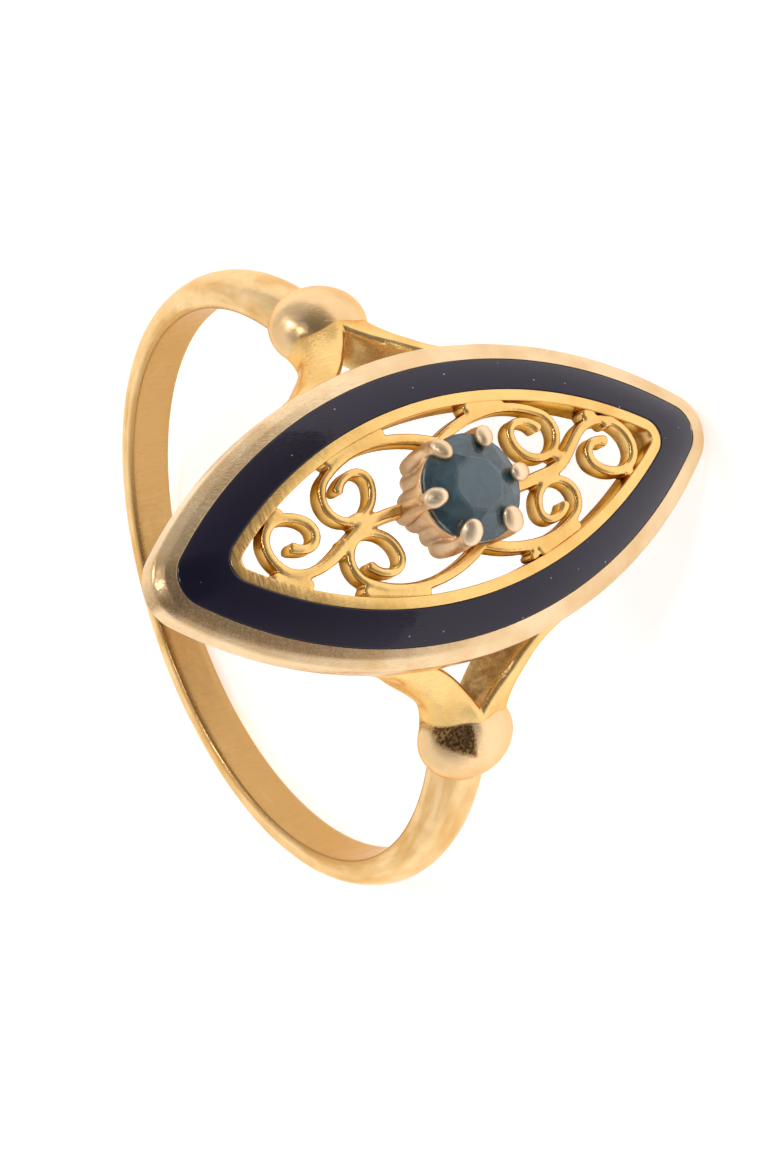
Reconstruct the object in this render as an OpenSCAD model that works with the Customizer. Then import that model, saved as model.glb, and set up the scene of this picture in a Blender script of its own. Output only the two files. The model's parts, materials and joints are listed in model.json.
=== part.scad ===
/* [Finger hoop] */
// Inner diameter of the finger hole
finger_d = 17.2; // [17:0.1:17.4]
// Thickness of the hoop beside the knops
hoop_t = 1.1; // [1.05:0.05:1.2]
// Thickness of the hoop at its worn back
back_t = 0.92; // [0.85:0.01:1]
// Width of the hoop at its back
back_w = 1.4; // [1.3:0.05:1.5]
// Width of the hoop beside the knops
shoulder_w = 1.85; // [1.75:0.05:1.9]

/* [Knops] */
// Largest diameter of each round knop
knop_d = 2.94; // [2.9:0.02:3]
// Length of each knop along the hoop
knop_len = 1.8; // [1.7:0.02:1.8]
// Angle of the knops above the middle of the finger hole
knop_angle = 47.1; // [46.9:0.1:47.5]

/* [Forked shoulders] */
// Radius of the hollow curve on the outside of each arm
arm_outer_r = 2.55; // [2.5:0.01:2.6]
// Half of the distance between the middles of the two outer curves
arm_outer_reach = 3.8; // [3.76:0.01:3.86]
// Radius of the curve on the inside of each arm
arm_inner_r = 4.8; // [4.7:0.05:4.9]
// Half of the distance between the middles of the two inner curves
arm_inner_reach = 4.45; // [4.4:0.05:4.5]

/* [Navette head] */
// Length of the enamel border from tip to tip
enamel_len = 17.1; // [16.9:0.1:17.3]
// Width of the enamel border across the middle
enamel_w = 7.66; // [7.6:0.02:7.72]
// Width of the plain gold rim outside the enamel
rim_w = 0.55; // [0.5:0.01:0.6]
// Width of the enamel itself
band_w = 1; // [0.95:0.01:1.02]
// Width of the gold border inside the enamel
border_w = 0.3; // [0.28:0.01:0.32]
// Depth of the enamel in its channel
enamel_depth = 0.45; // [0.4:0.01:0.5]

/* [Scrollwork] */
// Width of the scroll wire seen from the front
wire_w = 0.3; // [0.28:0.01:0.31]
// Depth of the scroll wire from front to back
wire_depth = 0.65; // [0.6:0.01:0.7]

/* [Sapphire and its coronet] */
// Diameter of the sapphire
stone_d = 2.92; // [2.88:0.02:2.96]
// Diameter of the flat table on the sapphire
table_d = 1.84; // [1.7:0.02:1.9]
// Height of the sapphire's girdle above the border
stone_lift = 1.1; // [1:0.01:1.15]
// Number of claws round the sapphire
claws = 6; // [6]

/* [Hidden] */
$fn = 96;

// Middle of each knop, from the wall of the finger hole
knop_rise = 0.35;

// Clear gap between the gold and what is set in it
seat_gap = 0.02;
// Overlap that makes joined forms one solid
bite = 0.3;

finger_r = finger_d / 2;
hoop_r = finger_r + hoop_t;
back_r = finger_r + back_t;
crown_r = 0.98;

// Heights above the middle of the finger hole, with the head upright
head_base = finger_r + 0.6;
plate_base = head_base + 0.46;
border_top = finger_r + 2.15;
channel_top = border_top - 0.46;
girdle_z = border_top + stone_lift;
wire_base = border_top - wire_depth;

// Cut of the sapphire, with its heights measured from the middle of the girdle
stone_r = stone_d / 2;
table_r = table_d / 2;
girdle_half = 0.05;
crown_h = 0.48;
pavilion_h = 1.25;
star_r = table_r + 0.52 * (stone_r - table_r);
star_h = crown_h
    - (star_r * cos(22.5) - table_r) * (crown_h - girdle_half) / (stone_r - table_r);

// Both long sides of the head are arcs round two middles that the outlines share
tip_round = 0.9;
half_len = enamel_len / 2;
half_w = enamel_w / 2;
side_r = (pow(half_len - tip_round, 2) + pow(half_w, 2) - pow(tip_round, 2))
    / (2 * (half_w - tip_round));
side_x = side_r - half_w;

// Radius of the side arcs and rounding of the tips of each outline, from outside to inside
outer_edge = [side_r + rim_w, 1.3];
enamel_outer = [side_r, tip_round];
enamel_inner = [side_r - band_w, 0.65];
opening_edge = [side_r - band_w - border_w, 0.3];

// Places of the middle of a rounded tip and of the ends of its arc
function tip_y(edge) = sqrt(pow(edge[0] - edge[1], 2) - pow(side_x, 2));
function tip_turn(edge) = atan2(tip_y(edge), side_x);

// Corners of the rim's bevel: distance outside the enamel, and drop below its edge
bevel_turn = [0.26, 0.16];
bevel_low = [0.42, 0.3];
bevel_foot_drop = 0.55;

// The ring lies on one tip of its head and on the edge of its hoop at the back
outer_tip_y = tip_y(outer_edge) + outer_edge[1];
back_edge_r = back_r - crown_r + sqrt(pow(crown_r, 2) - pow(back_w / 2, 2));
lean = atan2(outer_tip_y - back_w / 2, head_base + back_edge_r);
floor_drop = outer_tip_y * cos(lean) - head_base * sin(lean);

// Lowest and highest places across the floor, which the origin lies halfway between
rim_slope = bevel_turn[1] / bevel_turn[0];
tip_top = channel_top - rim_slope * (norm([side_x, outer_tip_y]) - side_r);
head_y = -outer_tip_y * sin(lean) - tip_top * cos(lean);
back_y = (back_r - crown_r) * cos(lean) + crown_r;

// Scroll arms: start across and along the head with its heading, then arcs of [radius, turn]
// A turn above 0 goes to the left
near_tip = [[0.1, 1.52, 90],
    [[12, 4], [2.2, 21], [28, 2], [2.2, -25], [0.98, -90], [0.66, -90], [1.08, -45],
     [0.45, -45], [0.36, -90], [0.76, -45]]];
far_tip = [[0.23, 1.54, 90],
    [[14, 7], [1.4, 33], [19, 2], [1.09, -45], [0.95, -90], [0.61, -90], [1.06, -45],
     [0.45, -45], [0.35, -90], [0.74, -30]]];
side_arm = [[1.27, -0.15, 40],
    [[1.2, 22], [3.6, 28], [2.6, 35], [0.65, 55], [0.62, 90], [0.75, 90], [0.34, 90], [0.65, 66]]];
curl_middle = [1, 2.68];
arc_step = 12;

// Six arms, bent by hand, so no two are quite the same:
// [arm, mirrored, in the far half, shift across, shift along, size, width of its wire]
arms = [
    [near_tip, false, false, 0, 0, 1, 1.12],
    [far_tip, false, true, 0, 0, 1, 1.12],
    [side_arm, false, false, 0.07, 0.06, 1.04, 1],
    [side_arm, true, false, -0.03, -0.08, 1.07, 1],
    [side_arm, true, true, 0.02, 0.17, 1.06, 1],
    [side_arm, false, true, -0.03, 0.22, 0.96, 1]];

// Drops of solder: [across, along, radius]
solder = [
    [0.95, 5.4, 0.2], [-0.36, 3.7, 0.15], [0.22, 3.1, 0.2], [1.86, 3.42, 0.15], [2.12, 2.4, 0.18],
    [2.26, 1.54, 0.18], [-0.9, 5.55, 0.22], [-1.8, 3.4, 0.2], [-2.18, 1.8, 0.22],
    [1.12, -5.12, 0.2], [2.24, -1.64, 0.2], [-0.78, -5.75, 0.14], [-1.8, -3.4, 0.26],
    [-2.21, -1.85, 0.22], [0.3, -3.68, 0.15], [-0.2, -3.3, 0.18], [0.78, -5.66, 0.2]];

module in_rest() {
    translate([0, -(head_y + back_y) / 2, floor_drop]) rotate([90 - lean, 0, 0]) children();
}

// Stands the outline's x along the finger and its y upward, and extrudes along x
module upright(depth) {
    rotate([90, 0, 90]) linear_extrude(depth) children();
}

// Turns the radial direction of the hoop to an angle above the middle
module at_shoulder(angle) {
    rotate([0, -angle, 0]) children();
}

module both_sides() {
    children();
    mirror([1, 0, 0]) children();
}

// The crown runs round a middle nearer to the head, so the back is the thinnest stretch
module hoop() {
    shoulder_z = hoop_r * sin(knop_angle);
    worn = (hoop_t - back_t) / 2;
    intersection() {
        translate([0, 0, worn]) rotate([90, 0, 0]) rotate([0, 0, 180 - knop_angle])
            rotate_extrude(angle = 180 + 2 * knop_angle, $fn = 192)
                intersection() {
                    translate([hoop_r - worn - crown_r, 0]) circle(crown_r);
                    translate([finger_r - bite, -shoulder_w]) square([2 * hoop_t, 2 * shoulder_w]);
                }
        translate([-2 * finger_r, 0, 0]) upright(4 * finger_r)
            polygon([[-back_w / 2, -hoop_r], [back_w / 2, -hoop_r],
                [shoulder_w / 2, shoulder_z + hoop_t], [-shoulder_w / 2, shoulder_z + hoop_t]]);
    }
}

module knop() {
    round_r = knop_len / 2;
    at_shoulder(knop_angle) translate([finger_r + knop_rise, 0, 0])
        rotate_extrude() intersection() {
            union() {
                translate([knop_d / 2 - round_r, 0]) circle(round_r);
                translate([0, -round_r]) square([knop_d / 2 - round_r, knop_len]);
            }
            translate([0, -round_r]) square([knop_d / 2, knop_len]);
        }
}

// Two crescents that part at the fork and flare out along the rim
module fork_outline() {
    outer_s = -0.75;
    inner_s = -2.14;
    foot_s = -1.44;
    foot_w = 2.3;
    neck_s = -0.85;
    flare_s = -0.35;
    rim_s = 4;
    seam = 0.1;
    end_turn = 118;
    end_len = 3;
    difference() {
        intersection() {
            both_sides() translate([arm_inner_reach, inner_s]) circle(arm_inner_r);
            both_sides() polygon([[-seam, foot_s], [foot_w / 2, foot_s], [foot_w / 2, neck_s],
                [arm_outer_reach, flare_s], [arm_outer_reach, rim_s], [-seam, rim_s]]);
        }
        both_sides() translate([arm_outer_reach, outer_s]) {
            circle(arm_outer_r);
            rotate(end_turn) translate([0, -end_len]) square([arm_outer_r - 0.01, end_len]);
        }
    }
}

// The arms thicken a little from the knop up to the rim, and end inside the head's plate
module forked_shoulder() {
    fork_angle = knop_angle + 8.9;
    swell = 1.08;
    swell_angle = 110;
    inside_x = 2.75;
    span = 12;
    sunk = 0.1;
    intersection() {
        at_shoulder(fork_angle) translate([finger_r - 2, 0, 0]) upright(4) fork_outline();
        translate([swell * cos(swell_angle), 0, swell * sin(swell_angle)])
            rotate([90, 0, 0])
                cylinder(r = hoop_r - swell / 2, h = span, center = true, $fn = 192);
        translate([inside_x, -span / 2, 0]) cube([8, span, plate_base + sunk]);
    }
}

// Disc-like solid with the slopes of the head's face, turned about one side's middle
module face_slope(profile) {
    translate([-side_x, 0, 0]) rotate_extrude($fn = 360) polygon(profile);
}

module between_slopes(profile) {
    intersection() {
        face_slope(profile);
        mirror([1, 0, 0]) face_slope(profile);
    }
}

// Prism that rounds both tips of an outline and is wide of its sides
module tip_prism(edge, base, height) {
    y0 = tip_y(edge);
    turn = tip_turn(edge);
    r = edge[1];
    fan = [for (i = [0 : 10]) let (a = turn + (180 - 2 * turn) * i / 10)
        [r * cos(a), y0 + r * sin(a)]];
    wide = half_w + 2;
    shoulder_y = y0 + r * sin(turn);
    translate([0, 0, base]) linear_extrude(height) polygon(concat(
        [[wide, shoulder_y]], fan, [[-wide, shoulder_y], [-wide, -shoulder_y]],
        [for (p = fan) -p], [[wide, -shoulder_y]]));
}

module navette(edge, base, height) {
    intersection() {
        translate([-side_x, 0, base]) cylinder(r = edge[0], h = height, $fn = 360);
        translate([side_x, 0, base]) cylinder(r = edge[0], h = height, $fn = 360);
        tip_prism(edge, base - 1, height + 2);
    }
}

// Tray with a bevelled rim, a channel for the enamel, a pierced middle and a hollow underside
module head_frame() {
    rim = enamel_outer[0];
    chamfer = 0.1;
    border_rise = 0.04;
    difference() {
        intersection() {
            between_slopes([[0, head_base], [outer_edge[0] - chamfer, head_base],
                [outer_edge[0], head_base + chamfer], [outer_edge[0], channel_top - bevel_foot_drop],
                [rim + bevel_low[0], channel_top - bevel_low[1]],
                [rim + bevel_turn[0], channel_top - bevel_turn[1]],
                [rim, channel_top], [enamel_inner[0], border_top],
                [opening_edge[0], border_top + border_rise], [0, border_top + border_rise]]);
            tip_prism(outer_edge, head_base - 1, 4);
        }
        difference() {
            navette(enamel_outer, channel_top - enamel_depth, 2);
            navette(enamel_inner, channel_top - enamel_depth - 1, 4);
        }
        navette(opening_edge, head_base - 1, 4);
        navette(enamel_outer, head_base - 1, plate_base - head_base + 1);
    }
}

// Place reached along one arc: [x, y, heading] after a share of its turn
function along(place, arc, share) =
    let (side = sign(arc[1]), r = arc[0], h = place[2], h2 = h + arc[1] * share)
    [place[0] + side * r * (sin(h2) - sin(h)), place[1] - side * r * (cos(h2) - cos(h)), h2];

function trace(place, arcs, i = 0) =
    i == len(arcs) ? [place] :
    let (parts = ceil(abs(arcs[i][1]) / arc_step))
    concat([for (k = [0 : parts - 1]) along(place, arcs[i], k / parts)],
        trace(along(place, arcs[i], 1), arcs, i + 1));

// Points to one side of a traced path
function beside(path, gap) = [for (p = path) [p[0] - gap * sin(p[2]), p[1] + gap * cos(p[2])]];

function backward(list) = [for (i = [len(list) - 1 : -1 : 0]) list[i]];

// The same path made larger about the middle of its curl and shifted
function fitted(path, shift, size) = [for (p = path)
    [curl_middle[0] + shift[0] + size * (p[0] - curl_middle[0]),
     curl_middle[1] + shift[1] + size * (p[1] - curl_middle[1]), p[2]]];

// One arm: wire on its edge, closed by a round end
module scroll(path, width) {
    end_r = 0.19;
    last = path[len(path) - 1];
    translate([0, 0, wire_base]) {
        linear_extrude(wire_depth)
            polygon(concat(beside(path, width / 2), backward(beside(path, -width / 2))));
        translate([last[0], last[1], 0]) cylinder(r = end_r, h = wire_depth, $fn = 24);
    }
}

// Mirrors across the head, or turns half round into the far half, or both
module set_in(mirrored, far) {
    rotate([0, 0, far ? 180 : 0])
        if (mirrored) mirror([1, 0, 0]) children();
        else children();
}

module scrollwork() {
    sink = 0.1;
    for (arm = arms)
        set_in(arm[1], arm[2])
            scroll(fitted(trace(arm[0][0], arm[0][1]), [arm[3], arm[4]], arm[5]), wire_w * arm[6]);
    for (drop = solder)
        translate([drop[0], drop[1], wire_base + sink])
            cylinder(r = drop[2], h = wire_depth - 2 * sink, $fn = 24);
}

module coronet() {
    foot_r = 1.22;
    mouth_r = 1.42;
    hole_r = 0.92;
    base_z = wire_base - 0.1;
    height = girdle_z - 0.42 - base_z;
    difference() {
        translate([0, 0, base_z]) cylinder(r1 = foot_r, r2 = mouth_r, h = height);
        translate([0, 0, base_z - 1]) cylinder(r = hole_r, h = 4);
    }
}

// Bar that stands just outside the girdle, with a bead bent in over the stone
module claw() {
    reach = stone_r + 0.06;
    foot_r = 0.34;
    bar_r = 0.24;
    bead_r = 0.32;
    bead_in = 0.1;
    bead_rise = 0.22;
    bar_z = wire_base + 0.05;
    bar_top = girdle_z + 0.2;
    translate([reach, 0, bar_z]) cylinder(r1 = foot_r, r2 = bar_r, h = bar_top - bar_z, $fn = 32);
    translate([reach - bead_in, 0, girdle_z + bead_rise]) sphere(r = bead_r, $fn = 40);
}

// Space that the stone fills, with the gap all round it
module stone_seat() {
    rim = stone_r + seat_gap;
    edge = girdle_half + seat_gap;
    translate([0, 0, girdle_z]) rotate_extrude() polygon([[0, -pavilion_h - 4 * seat_gap],
        [rim, -edge], [rim, edge], [star_r + seat_gap, star_h + seat_gap],
        [table_r, crown_h + seat_gap], [0, crown_h + seat_gap]]);
}

module claw_setting() {
    difference() {
        union() {
            coronet();
            for (i = [0 : claws - 1]) rotate([0, 0, (i + 0.5) * 360 / claws]) claw();
        }
        stone_seat();
    }
}

module gold_mount() {
    color("goldenrod") in_rest() {
        difference() {
            union() {
                hoop();
                both_sides() {
                    knop();
                    forked_shoulder();
                }
            }
            rotate([90, 0, 0]) cylinder(r = finger_r, h = 30, center = true, $fn = 192);
        }
        head_frame();
        scrollwork();
        claw_setting();
    }
}

module enamel_border() {
    dome = 0.06;
    outer = [enamel_outer[0] - seat_gap, enamel_outer[1] - seat_gap];
    inner = [enamel_inner[0] + seat_gap, enamel_inner[1] + seat_gap];
    floor_z = channel_top - enamel_depth + seat_gap;
    middle = (enamel_outer[0] + enamel_inner[0]) / 2;
    color("midnightblue") in_rest()
        intersection() {
            difference() {
                navette(outer, floor_z, 2);
                navette(inner, floor_z - 1, 4);
            }
            between_slopes([[0, head_base], [enamel_outer[0] + 1, head_base],
                [enamel_outer[0] + 1, channel_top - 0.5], [enamel_outer[0], channel_top],
                [middle, (channel_top + border_top) / 2 + dome], [enamel_inner[0], border_top],
                [0, border_top]]);
        }
}

// Ring of points: number, radius, height, and angle of the first point
function ring(n, r, z, first = 0) =
    [for (i = [0 : n - 1]) [r * cos(first + i * 360 / n), r * sin(first + i * 360 / n), z]];

module sapphire() {
    edge_top = girdle_z + girdle_half;
    edge_base = girdle_z - girdle_half;
    culet_z = girdle_z - pavilion_h;
    half_r = 0.3 * stone_r;
    half_z = culet_z + half_r * cos(22.5) * (edge_base - culet_z) / stone_r;
    points = concat(
        ring(8, table_r, girdle_z + crown_h), ring(8, star_r, girdle_z + star_h, 22.5),
        ring(16, stone_r, edge_top), ring(16, stone_r, edge_base),
        ring(8, half_r, half_z, 22.5), [[0, 0, culet_z]]);
    culet = len(points) - 1;
    faces = concat(
        [[for (i = [7 : -1 : 0]) i]],
        [for (i = [0 : 7]) [i, (i + 1) % 8, 8 + i]],
        [for (i = [0 : 7]) [i, 8 + i, 16 + 2 * i, 8 + (i + 7) % 8]],
        [for (i = [0 : 7]) [8 + i, 17 + 2 * i, 16 + 2 * i]],
        [for (i = [0 : 7]) [8 + i, 16 + (2 * i + 2) % 16, 17 + 2 * i]],
        [for (i = [0 : 15]) [16 + i, 16 + (i + 1) % 16, 32 + (i + 1) % 16, 32 + i]],
        [for (i = [0 : 7]) [48 + i, 32 + 2 * i, 33 + 2 * i]],
        [for (i = [0 : 7]) [48 + i, 33 + 2 * i, 32 + (2 * i + 2) % 16]],
        [for (i = [0 : 7]) [culet, 48 + (i + 7) % 8, 32 + 2 * i, 48 + i]]);
    color("darkslategray") in_rest() polyhedron(points, faces);
}

gold_mount();
enamel_border();
sapphire();
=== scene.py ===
# %% [markdown]
# # A navette ring with a border of blue enamel
# The ring has a plain finger hoop, two round knops, two forked shoulders and a long boat-shaped head.
# The head is a gold tray with blue enamel in its channel, and pierced scrollwork in its middle
# that carries one round sapphire in six claws. Each step below makes one of those pieces.
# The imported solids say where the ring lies, so they are loaded first.

# %% Load the solids
import json

import bpy
import numpy as np
from mathutils import Matrix


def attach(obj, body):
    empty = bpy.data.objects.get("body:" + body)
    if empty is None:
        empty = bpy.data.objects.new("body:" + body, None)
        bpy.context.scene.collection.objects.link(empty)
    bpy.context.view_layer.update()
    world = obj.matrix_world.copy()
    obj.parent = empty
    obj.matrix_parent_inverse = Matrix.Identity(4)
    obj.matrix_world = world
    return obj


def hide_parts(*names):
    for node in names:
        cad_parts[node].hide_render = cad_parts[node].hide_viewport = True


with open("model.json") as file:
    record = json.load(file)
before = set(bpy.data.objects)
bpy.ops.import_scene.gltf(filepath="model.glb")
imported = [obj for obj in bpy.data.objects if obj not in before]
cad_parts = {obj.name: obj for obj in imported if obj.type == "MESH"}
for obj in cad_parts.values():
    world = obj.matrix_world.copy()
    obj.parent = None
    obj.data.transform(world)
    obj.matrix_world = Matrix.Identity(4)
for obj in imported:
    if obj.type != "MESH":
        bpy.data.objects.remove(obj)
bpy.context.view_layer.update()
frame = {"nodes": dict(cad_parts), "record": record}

print("nodes:", sorted(frame["nodes"]))

# %% [markdown]
# The ring lies on one tip of its head, so its own axes lean over. A shape is far easier to write with
# the finger hole's middle at zero and the head on top, in millimetres. All points below are worked out
# that way, and one function carries them to the leaning ring in metres.

# %% The ring's own axes
hole = frame["record"]["mounts"][0]
MIDDLE = np.array(hole["pos_m"])
FINGER = np.array(hole["axis"])
ACROSS = np.array([1.0, 0.0, 0.0])
AXES = np.array([ACROSS, FINGER, np.cross(ACROSS, FINGER)])


def to_rest(points):
    """Place in metres of points given as x across, y along the finger and z up, in millimetres."""
    return MIDDLE + 0.001 * np.asarray(points) @ AXES


print("head points", np.round(AXES[2], 3))

# %% [markdown]
# All of the ring follows from a few sizes. Each long side of the head is an arc of a large circle, and
# its radius and how far its middle lies to the side come from the head's length, width and tips.

# %% Sizes in millimetres
FINGER_R = 8.6
HOOP_T = 1.1
BACK_T = 0.92
BACK_W = 1.4
SHOULDER_W = 1.85
HOOP_R = FINGER_R + HOOP_T
CROWN_R = 0.98
KNOP_ANGLE = np.radians(47.6)
FORK_ANGLE = np.radians(56)
CREST_AT, CREST_MIDDLE, CREST_R = 1.54, 0.8, 9.15
INNER_MIDDLE, INNER_R = np.array([4.33, -2.16]), 4.8
HEAD_BASE = 9.2
CHANNEL_TOP = 10.29
BORDER_TOP = 10.75
GIRDLE_Z = 11.85
WIRE_BASE = 10.1
STONE_R = 1.46
TABLE_R = 0.7
HALF_LEN, HALF_W, TIP_ROUND = 8.55, 3.83, 0.9
SIDE_R = ((HALF_LEN - TIP_ROUND) ** 2 + HALF_W ** 2 - TIP_ROUND ** 2) / (2 * (HALF_W - TIP_ROUND))
SIDE_X = SIDE_R - HALF_W
CHANNEL_IN, OPENING, RIM_OUT = -1.0, -1.3, 0.55
print("head over its rim:", round(2 * (HALF_LEN + RIM_OUT), 2), "by", round(2 * (HALF_W + RIM_OUT), 2))

# %% [markdown]
# Every piece is a skin over a lattice of points: one direction runs round each row, the other from row
# to row. Either the rows meet again, as on a tyre, or each end is closed by a fan of triangles, as on
# a sausage. The faces are turned outwards if the volume they enclose comes out below zero.

# %% Skins over lattices of points
def skin(rows, rows_meet=False):
    """Closed skin over rows[i, j] as points and faces: j meets itself, and so does i if asked."""
    n, m = rows.shape[:2]
    points = rows.reshape(-1, 3)
    i = np.arange(n if rows_meet else n - 1)[:, None]
    j = np.arange(m)[None, :]
    k, l = (i + 1) % n, (j + 1) % m
    quads = np.stack([i * m + j, i * m + l, k * m + l, k * m + j], -1).reshape(-1, 4)
    a, b, c, d = (points[quads[:, q]] for q in range(4))
    volume = np.einsum("ij,ij->", a, np.cross(b, c)) + np.einsum("ij,ij->", a, np.cross(c, d))
    faces = quads.tolist()
    if not rows_meet:
        j, l = j[0], l[0]
        first, last = np.full(m, n * m), np.full(m, n * m + 1)
        faces += np.stack([first, l, j], -1).tolist()
        faces += np.stack([last, (n - 1) * m + j, (n - 1) * m + l], -1).tolist()
        points = np.vstack([points, rows[0].mean(0), rows[-1].mean(0)])
    if volume < 0:
        faces = [face[::-1] for face in faces]
    return points, faces


def joined(skins):
    """Several skins as one list of points and one of faces."""
    starts = np.cumsum([0] + [len(points) for points, _ in skins])
    faces = [[v + int(start) for v in face] for start, (_, part) in zip(starts, skins) for face in part]
    return np.vstack([points for points, _ in skins]), faces


def piece(name, skins, material, node, grain=0.0, rounds=0, flat=False):
    """A finished piece. With a grain, the skins are melted into one by voxels of that size in
    millimetres and then smoothed for so many rounds, before the piece is carried to its place."""
    points, faces = joined(skins)
    mesh = bpy.data.meshes.new(name)
    mesh.from_pydata(points.tolist(), [], faces)
    obj = bpy.data.objects.new(name, mesh)
    bpy.context.scene.collection.objects.link(obj)
    if grain:
        melt = obj.modifiers.new("melt", "REMESH")
        melt.mode = "VOXEL"
        melt.voxel_size = grain
        soften = obj.modifiers.new("soften", "SMOOTH")
        soften.factor = 0.5
        soften.iterations = rounds
        melted = bpy.data.meshes.new_from_object(obj.evaluated_get(bpy.context.evaluated_depsgraph_get()))
        obj.modifiers.clear()
        obj.data = melted
        bpy.data.meshes.remove(mesh)
        mesh = melted
        mesh.name = name
    points = np.empty(len(mesh.vertices) * 3)
    mesh.vertices.foreach_get("co", points)
    mesh.vertices.foreach_set("co", to_rest(points.reshape(-1, 3)).ravel())
    mesh.polygons.foreach_set("use_smooth", np.full(len(mesh.polygons), not flat))
    mesh.materials.append(material)
    mesh.update()
    mesh.calc_loop_triangles()
    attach(obj, "root")
    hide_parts(node)
    print(f"{name}: {len(mesh.loop_triangles)} triangles")


def full_turn(count):
    """Angles at even steps once round."""
    return np.linspace(0, 2 * np.pi, count, endpoint=False)


def polar(angle, radius, along=0.0):
    """Point at an angle and radius round the finger hole and a distance along the finger."""
    angle, radius, along = np.broadcast_arrays(angle, radius, along)
    return np.stack([radius * np.cos(angle), along, radius * np.sin(angle)], -1)


def blend(low, high, x):
    """Goes from 0 at low to 1 at high along a soft S."""
    t = np.clip((x - low) / (high - low), 0, 1)
    return t * t * (3 - 2 * t)


def soft_corner(limits, sharpness=9.0):
    """Reach of a rounded section: the smallest of several limits, with its corners rounded off."""
    return sum(limit ** -sharpness for limit in limits) ** (-1 / sharpness)


def oblong(a, wide, tall, sharpness):
    """How far a rounded oblong of half width wide and half height tall reaches at an angle a."""
    return soft_corner([wide / np.maximum(np.abs(np.cos(a)), 1e-3),
                        tall / np.maximum(np.abs(np.sin(a)), 1e-3)], sharpness)


print("reach of a unit square's rounded corner:", round(float(oblong(np.pi / 4, 1, 1, 9.0)), 3))

# %% [markdown]
# ## Gold
# Polished gold is a mirror, so its colour is the colour of what it reflects times its own tint. What
# makes it look worn is its surface: thousands of hair scratches, a slight ripple left by the
# hammer and the file, and brown grime. Brown and black are also painted into the corners and onto a few
# patches: partly grime, partly painted shade and painted dark reflections.
# A material is built from small expressions. The class below wraps one socket, so that sums and
# products of values add the Math nodes, and one method makes every other kind of node.

# %% Values that add their own nodes
class Value:
    """One output of a node. Arithmetic on it adds the Math node that works it out."""

    def __init__(self, socket):
        self.socket = socket

    def math(self, operation, *inputs, clamp=False):
        maker = Bench(self.socket.id_data)
        return maker.node("ShaderNodeMath", {"operation": operation, "use_clamp": clamp}, *inputs)["Value"]

    def __add__(self, other):
        return self.math("ADD", self, other)

    def __sub__(self, other):
        return self.math("SUBTRACT", self, other)

    def __rsub__(self, other):
        return self.math("SUBTRACT", other, self)

    def __mul__(self, other):
        return self.math("MULTIPLY", self, other)

    def __pow__(self, other):
        return self.math("POWER", self, other)

    def __abs__(self):
        return self.math("ABSOLUTE", self)

    __radd__ = __add__
    __rmul__ = __mul__

    def at_most(self, limit):
        return self.math("MINIMUM", self, limit)

    def ramp(self, low, high):
        """0 below low, 1 above high and a straight slope between; low may be the larger of the two."""
        return self.math("ADD", self * (1 / (high - low)), -low / (high - low), clamp=True)


class Bench:
    """The node tree of one material or of the world, and the one method that adds nodes to it."""

    def __init__(self, tree):
        self.tree = tree

    def node(self, kind, settings=None, *places, **inputs):
        """A node of that kind. Settings come first, then its inputs by place or by name. Words in an
        input's name are joined by _. The outputs are read by name."""
        made = self.tree.nodes.new(kind)
        for key, value in (settings or {}).items():
            setattr(made, key, value)
        named = {key.replace("_", " "): value for key, value in inputs.items()}
        for key, value in list(enumerate(places)) + list(named.items()):
            if isinstance(value, Value):
                self.tree.links.new(value.socket, made.inputs[key])
            else:
                made.inputs[key].default_value = value
        return {out.name: Value(out) for out in made.outputs if out.enabled}

    def mix(self, share, first, second):
        """Colour that goes from the first to the second as share goes from 0 to 1."""
        made = self.tree.nodes.new("ShaderNodeMix")
        made.data_type = "RGBA"
        for place, value in ((0, share), (6, first), (7, second)):
            if isinstance(value, Value):
                self.tree.links.new(value.socket, made.inputs[place])
            else:
                made.inputs[place].default_value = value
        return Value(made.outputs[2])

    def places(self):
        """The ring's own x, y and z in millimetres, and the three together as a vector."""
        spot = self.node("ShaderNodeTexCoord")["Object"]
        spot = self.node("ShaderNodeVectorMath", {"operation": "SUBTRACT"}, spot, tuple(MIDDLE))["Vector"]
        x, y, z = (self.node("ShaderNodeVectorMath", {"operation": "DOT_PRODUCT"}, spot,
                             tuple(1000 * axis))["Value"] for axis in AXES)
        return x, y, z, self.node("ShaderNodeCombineXYZ", None, x, y, z)["Vector"]

    def noise(self, spot, scale, detail=2.0, stretch=None, rough=0.5):
        """Soft noise from 0 to 1 with lumps about 1 / scale millimetres wide."""
        if stretch:
            spot = self.node("ShaderNodeMapping", None, Vector=spot, Rotation=stretch[0], Scale=stretch[1])
            spot = spot["Vector"]
        return self.node("ShaderNodeTexNoise", None, Vector=spot, Scale=scale, Detail=detail,
                         Roughness=rough)["Fac"]


def new_material(name, rough, metal=0.0, **fixed):
    """An empty Principled material: its bench, its shader's sockets, and the material."""
    material = bpy.data.materials.new(name)
    material.use_nodes = True
    shader = material.node_tree.nodes["Principled BSDF"]
    shader.inputs["Roughness"].default_value = rough
    shader.inputs["Metallic"].default_value = metal
    for key, value in fixed.items():
        shader.inputs[key.replace("_", " ")].default_value = value
    return Bench(material.node_tree), shader.inputs, material


def feed(bench, socket, value):
    """Links a value to one of the shader's sockets."""
    bench.tree.links.new(value.socket, socket)


def feed_bumps(bench, sockets, height):
    """Links bumps of a height in micrometres to the shader."""
    bump = bench.node("ShaderNodeBump", None, Strength=1.0, Distance=1e-6, Height=height)
    feed(bench, sockets["Normal"], bump["Normal"])


# %% One recipe for all the gold
# Tint of worn gold over that of new, then thin brown and thick black, each used for grime and also for
# painted shade and painted dark reflection
DEEPER = (0.76, 0.62, 0.42)
BROWN_FILM_AND_PAINTED_LIGHT = (0.25, 0.12, 0.042, 1.0)
BLACK_SOOT_AND_PAINTED_LIGHT = (0.06, 0.045, 0.02, 1.0)
RIPPLE = 6.0

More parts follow.
